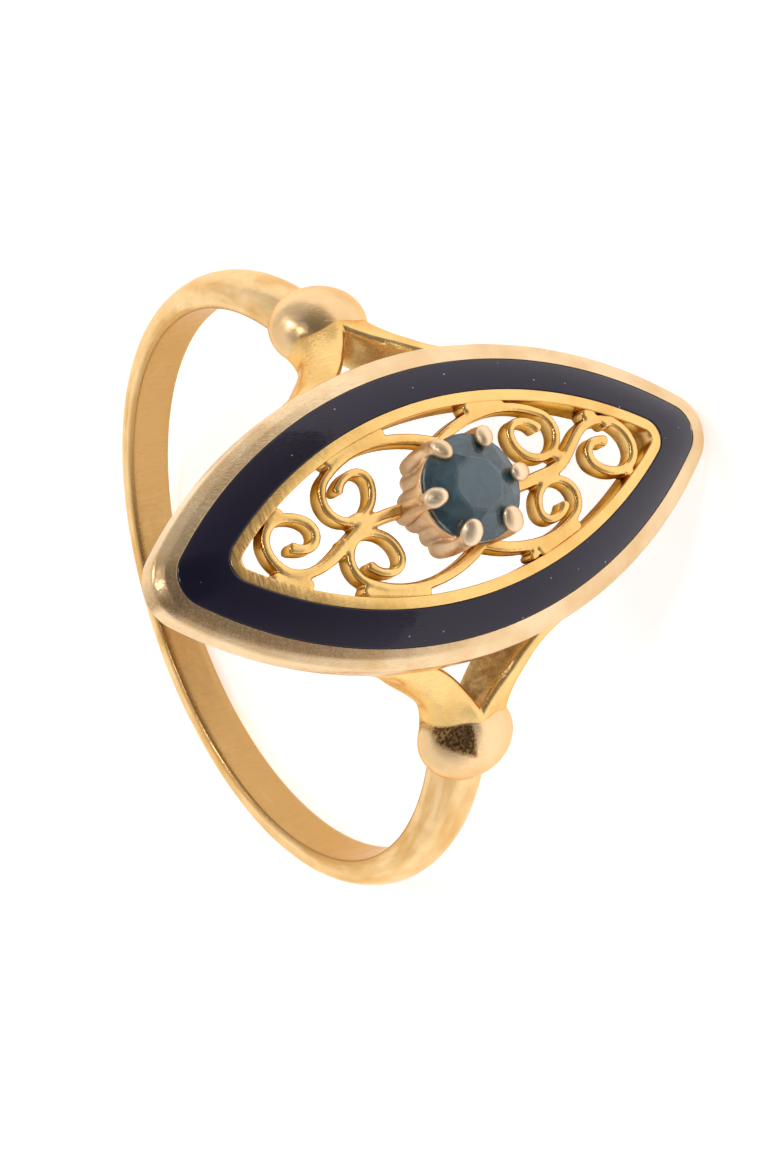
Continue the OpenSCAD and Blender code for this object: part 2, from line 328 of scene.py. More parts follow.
# Three families of hairs: how they are turned, the space between them and their length
HAIRS = [((0.3, 0.5, 0.9), 0.03, 1.6), ((1.2, 0.2, 2.3), 0.025, 1.1), ((0.1, 1.4, 0.1), 0.035, 1.3)]


def scratches(bench, spot, turn, spacing, length):
    """Hair scratches: noise squeezed across and stretched along one direction, cut to its peaks."""
    lines = bench.noise(spot, 1.0, 3.0, stretch=(turn, (1 / spacing, 1 / length, 1 / spacing)), rough=0.6)
    return lines.ramp(0.56, 0.7)


def gold(name, tint, rough, scratch, dirt_and_painted_light=None, warmth=None, edge=(1.0, 0.82, 0.6)):
    """Worn polished gold. tint is its mirror colour, and scratch the depth of its hairs in micrometres.
    dirt and warmth are functions of the ring's places: one gives the share of brown and black, which is
    partly grime and partly painted shade and painted dark reflection, brown up to 1 and black above, and the
    other the share of the deeper yellow that worn gold shows. edge is its colour seen aslant."""
    bench, sockets, material = new_material(name, rough, 1.0, Specular_Tint=edge + (1.0,))
    x, y, z, spot = bench.places()
    cloud = bench.noise(spot, 0.7, 3.0)
    fine = bench.noise(spot, 9.0, 4.0, rough=0.7)
    one, two, three = (scratches(bench, spot, *row) for row in HAIRS)
    hairs = one + two + three
    deep = tuple(c * s for c, s in zip(tint, DEEPER)) + (1.0,)
    worn = cloud.ramp(0.4, 0.7) * 0.6
    if warmth:
        worn = worn + warmth(bench, x, y, z, spot)
    colour = bench.mix(worn.at_most(1.0), tint + (1.0,), deep)
    # Share of brown and black: a little random grime everywhere, plus the piece's own marks, which are partly
    # grime and partly painted shade and painted dark reflection
    film_and_painted_light = fine.ramp(0.62, 0.8) * 0.12
    if dirt_and_painted_light:
        film_and_painted_light = film_and_painted_light + dirt_and_painted_light(bench, x, y, z, spot)
    colour = bench.mix(film_and_painted_light.at_most(1.0), colour, BROWN_FILM_AND_PAINTED_LIGHT)
    colour = bench.mix(film_and_painted_light.ramp(0.9, 1.7), colour, BLACK_SOOT_AND_PAINTED_LIGHT)
    feed(bench, sockets["Base Color"], colour)
    wear = cloud * 0.10 + hairs * 0.05 + film_and_painted_light * 0.25
    feed(bench, sockets["Roughness"], wear + (rough - 0.05))
    height = hairs * (-scratch) + fine * (0.5 * scratch)
    feed_bumps(bench, sockets, height + bench.noise(spot, 1.6, 2.0) * RIPPLE)
    return material


def walls_dirt_and_painted_shade(low, high, most):
    """Brown that thickens from height high down to height low, broken up by noise: partly grime, partly
    painted shade low on the walls.
    """
    def share(bench, x, y, z, spot):
        patches = bench.noise(spot, 2.2, 4.0, rough=0.65)
        # Brown low on the walls: partly grime, partly painted shade
        return z.ramp(high, low) * (patches.ramp(0.3, 0.65) * 0.35 + 0.65) * most
    return share


def from_hole(x, z):
    """Distance from the middle line of the finger hole."""
    return (x * x + z * z) ** 0.5


def beyond_enamel(x, y):
    """Distance outside the enamel's outer edge, along the head's two long sides."""
    side = abs(x) + SIDE_X
    return (side * side + y * y) ** 0.5 - SIDE_R


def round_the_hoop(bench, x, y, z, spot):
    """Long streaks round the hoop, left by the polishing wheel, and the deep yellow of its inside."""
    radius = from_hole(x, z)
    turn = x.math("ARCTAN2", x, z)
    lines = bench.node("ShaderNodeCombineXYZ", None, radius, y, turn)["Vector"]
    streaks = bench.noise(lines, 1.0, 3.0, stretch=((0, 0, 0), (2.2, 1.6, 3.0))).ramp(0.45, 0.62)
    return streaks * 0.7 + radius.ramp(8.8, 8.62) * 0.9


def inside_darkening(bench, x, y, z, spot):
    """A little brown all over the flat inside of the hoop, which makes it darker."""
    return from_hole(x, z).ramp(8.8, 8.62) * 0.28


def fork_dirt_and_painted_light(bench, x, y, z, spot):
    """Painted brown and black of shoulders and knops, where run goes along the shoulder and rise away from
    the finger. Brown lies on the walls of the notch between the arms, below the shoulder's crest and not far
    outside an arm's inner edge, and less of it on the right shoulder: partly grime, partly painted shade. A
    grainy near-black patch with a slanting lower edge on the left knop, beside its seam, is a painted dark
    reflection."""
    run = z * np.cos(FORK_ANGLE) - abs(x) * np.sin(FORK_ANGLE)
    rise = abs(x) * np.cos(FORK_ANGLE) + z * np.sin(FORK_ANGLE)
    from_crest, from_inner = run - CREST_AT, run - INNER_MIDDLE[1]
    depth = (CREST_MIDDLE + CREST_R) - from_crest * from_crest * 0.055 - rise
    beside = abs(y) - INNER_MIDDLE[0] + (INNER_R ** 2 - from_inner * from_inner) ** 0.5
    # Brown on the notch walls: partly grime, partly painted shade
    wall = depth.ramp(0.08, 0.3) * beside.ramp(0.75, 0.5) * run.ramp(-0.6, -0.3)
    wall = wall * (1.0 - x.ramp(-1, 1) * 0.55)
    clouds = bench.noise(spot, 3.0, 4.0, rough=0.7).ramp(0.35, 0.65)
    # A grainy near-black patch on the left knop: a painted dark reflection
    patch = y.ramp(0.28, 0.4) * y.ramp(1.36, 1.2) * run.ramp(-0.45, -0.58) * x.ramp(1, -1)
    patch = patch * (run - y * 0.5).ramp(-1.75, -1.58)
    patch_speckle = bench.noise(spot, 11.0, 3.0, rough=0.7).ramp(0.42, 0.6)
    return wall * (clouds * 0.6 + 0.15) + patch * (patch_speckle * 0.9 + 0.8)


def rim_painted_reflection(bench, x, y, z, spot):
    """A mottled brown band beside the enamel on one side of the head, wide at the tip and fading away from
    it: a painted dark reflection.
    """
    mottle = bench.noise(spot, 16.0, 3.0, rough=0.7).ramp(0.35, 0.6) * 0.35 + 0.4
    # This band is a painted dark reflection on the rim's bevel
    band = (beyond_enamel(x, y) - y.ramp(2, 8) * 0.2).ramp(0.25, 0.16)
    return mottle * band * x.ramp(0.5, -0.3) * y.ramp(0, 5)


def wires_dirt_and_painted_shade(bench, x, y, z, spot):
    """Brown down the walls of wires and border, partly grime and partly painted shade, and dark hatching on
    the border near the tip that wears most."""
    hatch = bench.noise(spot, 1.0, 3.0, stretch=((0, 0, 0.6), (2.0, 14.0, 2.0)), rough=0.7).ramp(0.42, 0.56)
    tip = hatch * beyond_enamel(x, y).ramp(-1.37, -1.3) * y.ramp(4.2, 6.2) * 0.75
    # The walls get brown that is partly grime and partly painted shade; the hatching is wear
    return walls_dirt_and_painted_shade(10.3, 10.68, 1.0)(bench, x, y, z, spot) + tip


# The six golds are one metal. Their tints differ as painted light: rim and claws paler and pinker, shoulders
# and wires a deeper yellow
HOOP_GOLD = gold("hoop gold", (0.94, 0.68, 0.37), 0.16, 1.6, dirt_and_painted_light=inside_darkening, warmth=round_the_hoop)
KNOP_GOLD = gold("knop gold", (0.92, 0.65, 0.36), 0.19, 1.8, dirt_and_painted_light=fork_dirt_and_painted_light)
ARM_GOLD = gold("shoulder gold", (0.92, 0.63, 0.26), 0.2, 2.0, dirt_and_painted_light=fork_dirt_and_painted_light, edge=(0.95, 0.68, 0.4))
RIM_GOLD = gold("rim gold", (0.90, 0.66, 0.40), 0.19, 2.0, dirt_and_painted_light=rim_painted_reflection, edge=(1.0, 0.93, 0.82))
WIRE_GOLD = gold("wire gold", (0.95, 0.61, 0.22), 0.17, 1.0, dirt_and_painted_light=wires_dirt_and_painted_shade, edge=(0.75, 0.46, 0.22))
CLAW_GOLD = gold("claw gold", (0.97, 0.74, 0.5), 0.33, 2.5, dirt_and_painted_light=walls_dirt_and_painted_shade(10.5, 11.5, 0.6),
                 edge=(0.95, 0.7, 0.45))
print("materials:", [m.name for m in bpy.data.materials])

# %% [markdown]
# ## The finger hoop
# The hoop is drawn wire with a D-shaped section, flat towards the finger and round outside, worn thin
# at the back. A curve with a bevel would give one section all round, so the section is
# carried round the hole by a formula instead, and its width and thickness change on the way.

# %% The hoop
SKIN = 0.004


def hoop_rows(turns=420, round_points=72):
    """Rows of the hoop. In each direction out of its middle, a section reaches as far as the finger
    wall, the two flanks and the arc of the crown let it. Its outside lies a hair inside the solid's."""
    turn = np.linspace(np.pi - KNOP_ANGLE, 2 * np.pi + KNOP_ANGLE, turns)[:, None]
    side = full_turn(round_points)[None, :]
    worn = (HOOP_T - BACK_T) / 2
    outer = worn * np.sin(turn) + np.sqrt((HOOP_R - worn) ** 2 - (worn * np.cos(turn)) ** 2) - SKIN
    top = HOOP_R * np.sin(KNOP_ANGLE) + HOOP_T
    width = BACK_W + (SHOULDER_W - BACK_W) * (outer * np.sin(turn) + HOOP_R) / (top + HOOP_R)
    middle = (FINGER_R + outer) / 2
    shift = middle - (outer - CROWN_R)
    crown = -shift * np.cos(side) + np.sqrt(CROWN_R ** 2 - (shift * np.sin(side)) ** 2)
    wall = (middle - FINGER_R) / np.maximum(-np.cos(side), 1e-3)
    flank = width / 2 / np.maximum(np.abs(np.sin(side)), 1e-3)
    reach = soft_corner([crown, wall, flank])
    return polar(turn, middle + reach * np.cos(side), reach * np.sin(side))


piece("finger_hoop", [skin(hoop_rows())], HOOP_GOLD, "gold_mount")

# %% [markdown]
# ## The knops
# Where the hoop meets each shoulder sits a bead that the hoop seems to run through. It is an
# ellipsoid, longest across the band and lowest away from the finger. Its inside was filed
# flush with the finger hole, so points that would reach into the hole are pushed out to its wall.

# %% The knops
KNOP_MIDDLE, KNOP_RISE, KNOP_HALF, KNOP_WIDE = 9.22, 1.09, 1.32, 1.48


def knop_rows(angle, rows=90, round_points=96):
    """Rows of a knop at an angle round the hole: circles of growing and shrinking radius along the
    hoop's direction, stretched to the knop's own height and width."""
    t = np.linspace(0.02, np.pi - 0.02, rows)[:, None]
    side = full_turn(round_points)[None, :]
    out, tangent = polar(angle, 1.0), polar(angle + np.pi / 2, 1.0)
    rise = KNOP_MIDDLE + KNOP_RISE * np.sin(t) * np.cos(side)
    points = rise[..., None] * out + (KNOP_HALF * np.cos(t) + 0 * side)[..., None] * tangent
    points[..., 1] += KNOP_WIDE * np.sin(t) * np.sin(side)
    distance = np.hypot(points[..., 0], points[..., 2])
    push = np.maximum(distance, FINGER_R) / distance
    points[..., 0] *= push
    points[..., 2] *= push
    return points


for name, angle in (("knop_right", KNOP_ANGLE), ("knop_left", np.pi - KNOP_ANGLE)):
    piece(name, [skin(knop_rows(angle))], KNOP_GOLD, "gold_mount")

# %% [markdown]
# ## The forked shoulders
# Each shoulder parts into two arms that flare out along the rim. Both edges of an arm are arcs, drawn
# flat, and the section between them stands out from the finger hole. The two arms of a fork overlap in
# its neck, which runs up over the knop. A voxel remesh melts them into one, and also softens the notch as
# solder would.

# %% The shoulders
OUTER_MIDDLE, OUTER_R = np.array([3.85, -0.75]), 2.56
BANK = {1: 0.02, -1: 0.58}
SPLAY = 0.59
NECK_RISE, NECK_DROP = 0.5, 0.13
ARM_FROM_MIDDLE = 2.75
UNDER_HEAD = 9.72


def arc(middle, radius, start, end, count):
    """Points on a flat arc from one angle in degrees to another."""
    a = np.radians(np.linspace(start, end, count))
    return middle + radius * np.stack([np.cos(a), np.sin(a)], -1)


def even(path, count):
    """The same flat path with its points at even steps."""
    step = np.r_[0, np.cumsum(np.hypot(*np.diff(path, axis=0).T))]
    at = np.linspace(0, step[-1], count)
    return np.stack([np.interp(at, step, path[:, k]) for k in range(path.shape[1])], -1)


def arm_rows(side, rows=120, round_points=72):
    """Rows of one arm. Each runs between the arm's outer and inner edge, and from the finger wall out
    to the shoulder's crest, which is an arc that rises towards the middle of the neck. The outer edge
    splays towards the finger and is rounded off above, while the edge beside the gap stays crisp and is
    filed back above by the arm's bank. side is 1 or -1 along the finger."""
    outer = np.vstack([[[1.28, -1.3]], arc(OUTER_MIDDLE, OUTER_R, 180, 107.5, 60), [[3.86, 2.87]]])
    inner = np.vstack([[[-0.12, -1.3], [-0.12, -0.4]], arc(INNER_MIDDLE, INNER_R, 157.4, 96.5, 60)])
    outer, inner = even(outer, rows), even(inner, rows)
    a = full_turn(round_points)
    crisp = 6 - 3.4 * np.clip(-np.cos(a), 0, 1) ** 0.5 * np.clip(np.sin(a), 0, 1) ** 0.5
    reach = oblong(a, 1, 1, crisp)
    share, height = (1 + reach * np.cos(a)) / 2, (1 + reach * np.sin(a)) / 2
    flat = outer[:, None] + share[None, :, None] * (inner - outer)[:, None]
    y, s = flat[..., 0], flat[..., 1]
    splay = SPLAY * blend(-0.2, 1.0, s) * (1 - blend(1.6, 2.6, s))
    y = y + splay * (1 - height[None, :]) * (1 - share[None, :])
    y = y + BANK[side] * height[None, :] * share[None, :] * blend(-0.4, 0.8, s)
    low = np.maximum(np.sqrt(FINGER_R ** 2 - s ** 2),
                     (ARM_FROM_MIDDLE + s * np.sin(FORK_ANGLE)) / np.cos(FORK_ANGLE))
    high = CREST_MIDDLE + np.sqrt(CREST_R ** 2 - (s - CREST_AT) ** 2) - NECK_DROP * (1 - blend(-1.1, 0.8, s))
    high = high + NECK_RISE * (1 - blend(-0.6, 0.6, s)) * share[None, :]
    high = np.minimum(high, (UNDER_HEAD - s * np.cos(FORK_ANGLE)) / np.sin(FORK_ANGLE))
    rise = low + height[None, :] * np.maximum(high - low, 0.05)
    out, tangent = polar(FORK_ANGLE, 1.0), polar(FORK_ANGLE + np.pi / 2, 1.0)
    points = rise[..., None] * out + s[..., None] * tangent
    points[..., 1] += side * y
    return points


for name, flip in (("shoulder_right", 1), ("shoulder_left", -1)):
    arms = [skin(arm_rows(side) * [flip, 1, 1]) for side in (1, -1)]
    piece(name, arms, ARM_GOLD, "gold_mount", grain=0.04, rounds=6)

# %% [markdown]
# ## The head's frame
# The head is a tray bent up from sheet: an outer rim with a sloping bevel, a plate under the enamel and
# a raised border inside it. Seen from above, all its outlines are two long arcs that
# meet in rounded tips, one inside the other. So the frame is one profile carried round that outline,
# where a point of the profile is its distance outside the enamel and its height. The border is made
# with the scrollwork, because it is of the same gold.

# %% Outlines of the head
def outline(offset, side_points=170, tip_points=30):
    """Points round the head, at each offset in millimetres outside the enamel's outer edge: a long
    arc, a rounded tip, and the same again turned half round."""
    offset = np.atleast_1d(offset)[None, :]
    big = SIDE_R + offset
    tip = np.interp(offset, [OPENING, CHANNEL_IN, 0, RIM_OUT], [0.3, 0.65, 0.9, 1.3])
    tip_y = np.sqrt((big - tip) ** 2 - SIDE_X ** 2)
    turn = np.arctan2(tip_y, SIDE_X)
    a = np.linspace(-1, 1, side_points)[:, None] * turn
    b = turn + np.linspace(0, 1, tip_points + 2)[1:-1, None] * (np.pi - 2 * turn)
    half = np.concatenate([np.stack([big * np.cos(a) - SIDE_X, big * np.sin(a)], -1),
                           np.stack([tip * np.cos(b), tip_y + tip * np.sin(b)], -1)])
    return np.concatenate([half, -half])


def rounded(place, size, steps=5, most=0.49):
    """Closed profile whose corners are cut off by short parabolas. Each ends at its size from the corner,
    or at most that share of the way to the next. place holds a point for each corner, or a row of
    points where the corner moves along the way."""
    ones = [1] * (place.ndim - 1)
    size = np.reshape(size, [-1] + ones)
    t = np.linspace(0, 1, steps).reshape([1, -1] + ones)

    def towards(other):
        gap = other - place
        length = np.sqrt((gap ** 2).sum(-1, keepdims=True))
        return (place + gap * np.minimum(size, most * length) / length)[:, None]

    start, end = towards(np.roll(place, 1, 0)), towards(np.roll(place, -1, 0))
    curve = (1 - t) ** 2 * start + 2 * t * (1 - t) * place[:, None] + t ** 2 * end
    return curve.reshape(-1, *place.shape[1:])


def carried(profile):
    """Lattice of a profile of (offset, height) carried round the head."""
    flat = outline(profile[:, 0])
    height = np.broadcast_to(profile[:, 1], flat.shape[:2])
    return np.concatenate([flat, height[..., None]], -1)


print("opening:", np.round(2 * outline(OPENING).max((0, 1)), 2), "mm across and along")

# %% The frame
CHANNEL_FLOOR = CHANNEL_TOP - 0.45
PLATE_BASE = 9.66
# Corners of the frame: distance outside the enamel, height and size of the rounding
FRAME = np.array([
    (0, CHANNEL_FLOOR, 0.02), (0, CHANNEL_TOP, 0.03), (0.27, CHANNEL_TOP - 0.125, 0.04),
    (RIM_OUT, CHANNEL_TOP - 0.36, 0.09), (RIM_OUT, HEAD_BASE, 0.1), (0.05, HEAD_BASE, 0.1),
    (0.0, PLATE_BASE, 0.1), (CHANNEL_IN - 0.1, PLATE_BASE, 0.02), (CHANNEL_IN - 0.1, CHANNEL_FLOOR, 0.02)])
piece("head_frame", [skin(carried(rounded(FRAME[:, :2], FRAME[:, 2])), rows_meet=True)], RIM_GOLD,
      "gold_mount")

# %% [markdown]
# ## The enamel
# Enamel is coloured glass melted into the channel and ground flush, then polished. It is a little
# domed across, because it was filled above the gold and rubbed down.

# %% The enamel
GAP, TOP_GAP = 0.02, 0.004
DOME, SUNK = 0.06, 0.012


def enamel_profile(count=24):
    """Profile of the enamel: flat below, and above a slope from the border down to the rim with a low
    dome on it. It nearly touches the gold at its top, and stands off it below."""
    t = np.linspace(0, 1, count)
    place = -TOP_GAP + t * (CHANNEL_IN + 2 * TOP_GAP)
    height = CHANNEL_TOP - SUNK + t * (BORDER_TOP - CHANNEL_TOP) + 4 * DOME * t * (1 - t)
    floor = CHANNEL_FLOOR + GAP
    return np.vstack([np.stack([place, height], -1), [[CHANNEL_IN + GAP, floor], [-GAP, floor]]])


bench, sockets, ENAMEL = new_material("blue enamel", 0.06, 0.0, IOR=1.5,
                                      Specular_Tint=(0.97, 0.88, 1.0, 1.0))
x, y, z, spot = bench.places()
cells = bench.node("ShaderNodeTexVoronoi", {"feature": "F1"}, Vector=spot, Scale=2.0)
pits = cells["Distance"].ramp(0.065, 0.035)
dust = bench.noise(spot, 14.0, 3.0).ramp(0.7, 0.78)
hairs = scratches(bench, spot, (0.2, 0.1, 0.7), 0.03, 1.4)
hairs = hairs + scratches(bench, spot, (0.1, 0.3, 2.0), 0.03, 1.1)
cloud = bench.noise(spot, 0.5, 2.0).ramp(0.3, 0.7)
shade = bench.mix(cloud, (0.004, 0.003, 0.013, 1), (0.006, 0.004, 0.022, 1))
# A painted sheen: grey laid over the enamel, growing towards the tip at negative y and towards negative x
painted_sheen = y.ramp(-1.0, -8.0) * x.ramp(2.5, -2.0) * 0.12
feed(bench, sockets["Base Color"], bench.mix(dust * 0.05 + pits + painted_sheen, shade, (0.45, 0.42, 0.43, 1)))
feed(bench, sockets["Roughness"], hairs * 0.05 + dust * 0.1 + 0.05)
feed_bumps(bench, sockets, hairs * -0.5 + pits * -8.0 + bench.noise(spot, 1.1, 2.0) * 6.0)
piece("enamel_glaze", [skin(carried(enamel_profile()), rows_meet=True)], ENAMEL,
      "enamel_border")

# %% [markdown]
# ## The scrollwork
# Flat wire stands on its edge and is bent into scrolls, inside a border of thicker wire. Each path is a
# row of arcs, so each stretch is a radius and a turn, as a jeweller bends it round pliers. A rounded
# oblong is carried along the path, and it swells and closes at the end of the curl.

# %% The scrolls
WIRE_HALF = 0.15
PER_MM = 25

# Arms of wire: start across and along, heading in degrees, then arcs as radius and turn
NEAR_TIP = ((0.1, 1.52, 90), [(12, 4), (2.2, 21), (28, 2), (2.2, -25), (0.98, -90), (0.66, -90),
                              (1.08, -45), (0.45, -45), (0.36, -90), (0.76, -45)])
FAR_TIP = ((0.23, 1.54, 90), [(14, 7), (1.4, 33), (19, 2), (1.09, -45), (0.95, -90), (0.61, -90),
                              (1.06, -45), (0.45, -45), (0.35, -90), (0.74, -30)])
SIDE_ARM = ((1.27, -0.15, 40), [(1.2, 22), (3.6, 28), (2.6, 35), (0.65, 55), (0.62, 90), (0.75, 90),
                                (0.34, 90), (0.65, 66)])
CURL_MIDDLE = np.array([1, 2.68])

# Six arms, bent by hand, so no two are quite the same:
# arm, mirrored, in the far half, shift across and along, size, width of its wire
ARMS = [(NEAR_TIP, False, False, 0, 0, 1, 1.12),
        (FAR_TIP, False, True, 0, 0, 1, 1.12),
        (SIDE_ARM, False, False, -0.06, 0.04, 1.15, 1),
        (SIDE_ARM, True, False, -0.05, -0.12, 1.12, 1),
        (SIDE_ARM, True, True, 0.02, 0.17, 1.06, 1),
        (SIDE_ARM, False, True, -0.03, 0.22, 0.96, 1)]


def bent(start, arcs, step=4.0):
    """Flat path through a row of arcs (radius, turn), where a turn above 0 goes to the left."""
    place, heading = np.array(start[:2], float), np.radians(start[2])
    path = [place[None]]
    for radius, turn in arcs:
        side, swing = np.sign(turn), np.radians(turn)
        h = heading + np.linspace(0, 1, int(abs(turn) / step) + 2)[1:] * swing
        path.append(place + side * radius * np.stack([np.sin(h) - np.sin(heading),
                                                      np.cos(heading) - np.cos(h)], -1))
        place, heading = path[-1][-1], heading + swing
    return np.concatenate(path)


def strip_rows(path, width, round_points=36):
    """Rows of a wire on edge along a flat path: an oblong with round corners that is drawn thinner
    along the loop, a little wider again near the end of the curl, and closed at its end."""
    path = even(path, int(PER_MM * np.hypot(*np.diff(path, axis=0).T).sum()))
    count = len(path)
    heading = np.gradient(path, axis=0)
    heading /= np.hypot(*heading.T)[:, None]
    across = np.stack([-heading[:, 1], heading[:, 0]], -1)
    left = np.arange(count)[::-1] / PER_MM
    half = WIRE_HALF * width * (1.1 - 0.28 * blend(0.15, 0.5, np.arange(count) / count))
    half *= 1 + 0.2 * np.exp(-((left - 0.12) / 0.12) ** 2)
    half *= np.sqrt(1 - np.clip(1 - left / 0.07, 0, 0.97) ** 2)
    a = full_turn(round_points)
    reach = oblong(a, WIRE_HALF, (BORDER_TOP - WIRE_BASE) / 2, 14.0)
    aside, rise = reach * np.cos(a) / WIRE_HALF, reach * np.sin(a)
    flat = path[:, None] + (half[:, None] * aside)[..., None] * across[:, None]
    height = np.broadcast_to((WIRE_BASE + BORDER_TOP) / 2 + rise, flat.shape[:2])
    return np.concatenate([flat, height[..., None]], -1)


def arm_of_wire(arm, mirrored, far, shift_x, shift_y, size, width):
    """Skin of one arm: its path made larger about the middle of its curl and shifted, then mirrored
    across the head, or turned half round into the far half, or both."""
    path = CURL_MIDDLE + size * (bent(*arm) - CURL_MIDDLE) + [shift_x, shift_y]
    return skin(strip_rows(path, width) * [-1 if mirrored != far else 1, -1 if far else 1, 1])


# Corners of the border: distance outside the enamel, height and size of the rounding
BORDER = np.array([(OPENING - 0.04, PLATE_BASE, 0.05), (OPENING - 0.04, BORDER_TOP + 0.02, 0.04),
                   (CHANNEL_IN, BORDER_TOP - 0.01, 0.04), (CHANNEL_IN, PLATE_BASE, 0.04)])
piece("inner_border", [skin(carried(rounded(BORDER[:, :2], BORDER[:, 2])), rows_meet=True)], WIRE_GOLD,
      "gold_mount")
scrolls = [arm_of_wire(*arm) for arm in ARMS]

# %% [markdown]
# The arms are soldered to the border and to each other. The solder ran in along each joint and was
# filed level, so a joint is a post with a flat top that is drawn out along the two wires.

# %% Solder at the joints
RUN_HALF, RUN_SUNK = 0.325, 0.01

# Runs of solder: from across and along, to across and along, radius
SOLDER = [(2.3, 1.5, 1.95, 3.3, 0.17), (0.98, 5.3, 0.8, 5.62, 0.18), (-0.72, 5.95, -1.1, 5.15, 0.21),
          (-1.77, 3.45, -2.25, 1.8, 0.2), (2.3, -1.45, 2.15, -2.4, 0.2), (-2.12, -2.2, -1.77, -3.45, 0.2),
          (-2.2, -1.9, -2.22, -1.8, 0.12), (1.1, -5.18, 1.14, -5.05, 0.18), (-0.38, 3.72, -0.3, 3.66, 0.13),
          (0.2, 3.2, 0.24, 3.0, 0.16), (-0.78, -5.78, -0.76, -5.7, 0.13), (0.3, -3.72, 0.3, -3.6, 0.13),
          (-0.2, -3.36, -0.2, -3.2, 0.15), (0.8, -5.74, 0.76, -5.58, 0.17)]


def run_rows(x1, y1, x2, y2, wide, rows=24, round_points=40):
    """Rows of a run of solder: a post with two round ends that reaches from the first place to the
    second, with a flat top that ends level with the wires."""
    t = np.linspace(0.03, np.pi - 0.03, rows)[:, None]
    a = full_turn(round_points)[None, :]
    radius = wide * np.sin(t) ** 0.12
    first = np.cos(a - np.arctan2(y1 - y2, x1 - x2)) > 0
    middle = (WIRE_BASE + BORDER_TOP) / 2 - RUN_SUNK
    x = np.where(first, x1, x2) + radius * np.cos(a)
    y = np.where(first, y1, y2) + radius * np.sin(a)
    return np.stack([x, y, middle + RUN_HALF * np.cos(t) + 0 * a], -1)


runs = [skin(run_rows(*run)) for run in SOLDER]
piece("scrollwork", scrolls + runs, WIRE_GOLD, "gold_mount", grain=0.038, rounds=3)

# %% [markdown]
# ## The coronet and its claws
# The stone stands in a coronet: a short cup whose foot is cut into petals. It is a closed band round the
# stone, and its corners move in and out on the way round: twelve times at the foot, and six times at
# the top, where it rises a little to each claw.

# %% The coronet
CLAW_ANGLES = np.radians(30 + 60 * np.arange(6))


def coronet_rows(round_points=288):
    """Band round the stone. Its lower edge swells into twelve petals, and its upper edge dips a
    little between the claws."""
    a = full_turn(round_points)
    claw = (1 - np.cos(6 * a)) / 2
    petal = np.abs(np.sin(6 * a)) ** 0.7
    top = GIRDLE_Z - 0.22 + 0.08 * claw
    low = WIRE_BASE - 0.08 - 0.1 * petal
    corners = [(0.96, low + 0.06, 0.08), (1.2 + 0.2 * petal, low, 0.12),
               (1.18 + 0.12 * petal, WIRE_BASE + 0.75, 0.4), (1.5, top, 0.07), (1.3, top - 0.02, 0.07),
               (1.0, WIRE_BASE + 0.9, 0.2)]
    place = np.stack([np.stack([c[0] + 0 * a, c[1] + 0 * a], -1) for c in corners])
    r, z = rounded(place, [c[2] for c in corners], steps=6, most=0.45).transpose(2, 1, 0)
    return np.stack([r * np.cos(a)[:, None], r * np.sin(a)[:, None], z], -1)


coronet = coronet_rows()
print("coronet: foot at", round(coronet[..., 2].min(), 2), "and top at", round(coronet[..., 2].max(), 2))

# %% [markdown]
# Each claw is a round bar that leans out past the stone's edge and is pushed in over it. Its end is
# filed to a thumb-shaped dome, and since that is done by hand, each dome has its own size.

# %% The claws
# Length and width of each claw's dome
CLAWS = [(0.36, 0.27), (0.38, 0.29), (0.4, 0.33), (0.42, 0.33), (0.37, 0.27), (0.36, 0.27)]


def turned(r, side, z, angle):
    """Points at a distance r out and a distance side across, swung round the stone by an angle."""
    cos, sin = np.cos(angle), np.sin(angle)
    return np.stack([r * cos - side * sin, r * sin + side * cos, z], -1)


def claw_rows(angle, rows=60, round_points=32):
    """Rows of a claw's bar along a path that leans out past the girdle and bends in over the stone."""
    t = np.linspace(0, 1, rows)[:, None]
    foot, knee, bend, tip = ((1.36, WIRE_BASE + 0.05), (1.6, GIRDLE_Z - 0.5), (1.7, GIRDLE_Z + 0.3),
                             (1.3, GIRDLE_Z + 0.36))
    path = sum(w * np.array(p) for w, p in zip(
        ((1 - t) ** 3, 3 * t * (1 - t) ** 2, 3 * t ** 2 * (1 - t), t ** 3), (foot, knee, bend, tip)))
    heading = np.gradient(path, axis=0)
    heading /= np.hypot(*heading.T)[:, None]
    aside = np.stack([heading[:, 1], -heading[:, 0]], -1)
    half = 0.33 - 0.09 * blend(0, 0.5, t)
    a = full_turn(round_points)[None, :]
    r = path[:, :1] + half * 0.86 * np.cos(a) * aside[:, :1]
    z = path[:, 1:] + half * 0.86 * np.cos(a) * aside[:, 1:]
    return turned(r, half * np.sin(a), z, angle)


def dome_rows(angle, long, wide, rows=40, round_points=40):
    """Rows of the thumb-shaped dome at a claw's end: an ellipsoid that leans with the stone's crown."""
    t = np.linspace(0.03, np.pi - 0.03, rows)[:, None]
    a = full_turn(round_points)[None, :]
    lean = np.radians(24)
    inward, up = -long * np.cos(t) + 0 * a, 0.2 * np.sin(t) * np.sin(a)
    r = 1.68 - 0.75 * long - inward * np.cos(lean) + up * np.sin(lean)
    z = GIRDLE_Z + 0.36 + inward * np.sin(lean) + up * np.cos(lean)
    return turned(r, wide * np.sin(t) * np.cos(a), z, angle)


claws = [skin(claw_rows(angle)) for angle in CLAW_ANGLES]
claws += [skin(dome_rows(angle, long, wide)) for angle, (long, wide) in zip(CLAW_ANGLES, CLAWS)]
piece("claw_setting", [skin(coronet, rows_meet=True)] + claws, CLAW_GOLD, "gold_mount",
      grain=0.04, rounds=4)

# %% [markdown]
# ## The sapphire
# The stone is a dark teal-blue sapphire with a small flat table, a crown of stars and kites, and a deep
# pavilion. Its facets are flat faces between rings of points. An old stone is worn, so its table is
# duller than its crown, and threads of silk inside make it cloudy. The table is also painted a lighter
# grey-teal, as a painted reflection.

